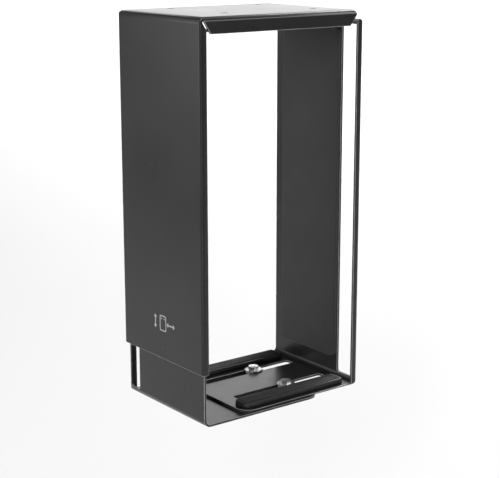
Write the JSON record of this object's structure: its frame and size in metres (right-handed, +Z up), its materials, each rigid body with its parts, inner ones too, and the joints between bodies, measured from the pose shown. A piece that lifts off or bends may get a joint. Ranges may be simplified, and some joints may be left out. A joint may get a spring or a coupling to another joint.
{
  "type": "cpu holder",
  "caption": "Under-desk steel holder for a small tower computer: desk bracket and two L brackets that slide to set its height and width.",
  "frame": {"origin": "bottom centre of the overall box, on the plane under the tray, with the tray fully raised", "axes": "+Z up towards the desk, the open front faces -Y, +X from the desk bracket's panel towards the right bracket"},
  "size_m": [0.157, 0.11, 0.309],
  "materials": {
    "powder_coated_steel": "satin, fine-textured powder coat",
    "zinc_plated_steel": "bright zinc plate",
    "nylon": "matt, natural",
    "foam_pad": "matt closed-cell foam",
    "rubber_pad": "matt ribbed rubber"
  },
  "bodies": {
    "desk_bracket": {"desk_bracket": "powder_coated_steel", "front_height_studs": "zinc_plated_steel", "rear_height_studs": "zinc_plated_steel", "front_slide_blocks": "nylon", "rear_slide_blocks": "nylon", "front_clamp_plate": "zinc_plated_steel", "rear_clamp_plate": "zinc_plated_steel", "front_height_nuts": "zinc_plated_steel", "rear_height_nuts": "zinc_plated_steel"},
    "left_bracket": {"lower_left_bracket": "powder_coated_steel", "front_tray_stud": "zinc_plated_steel", "rear_tray_stud": "zinc_plated_steel", "front_tray_block": "nylon", "rear_tray_block": "nylon", "front_tray_washer": "zinc_plated_steel", "rear_tray_washer": "zinc_plated_steel", "front_tray_nut": "zinc_plated_steel", "rear_tray_nut": "zinc_plated_steel", "left_side_pad": "foam_pad"},
    "right_bracket": {"lower_right_bracket": "powder_coated_steel", "right_side_pad": "foam_pad", "front_tray_pad": "rubber_pad", "rear_tray_pad": "rubber_pad"}
  },
  "joints": [
    {"name": "height_slide", "type": "slide", "parent": "desk_bracket", "child": "left_bracket", "axis": [0, 0, 1], "range_m": [-0.175, 0]},
    {"name": "width_slide", "type": "slide", "parent": "left_bracket", "child": "right_bracket", "axis": [1, 0, 0], "range_m": [-0.033, 0.045]}
  ]
}
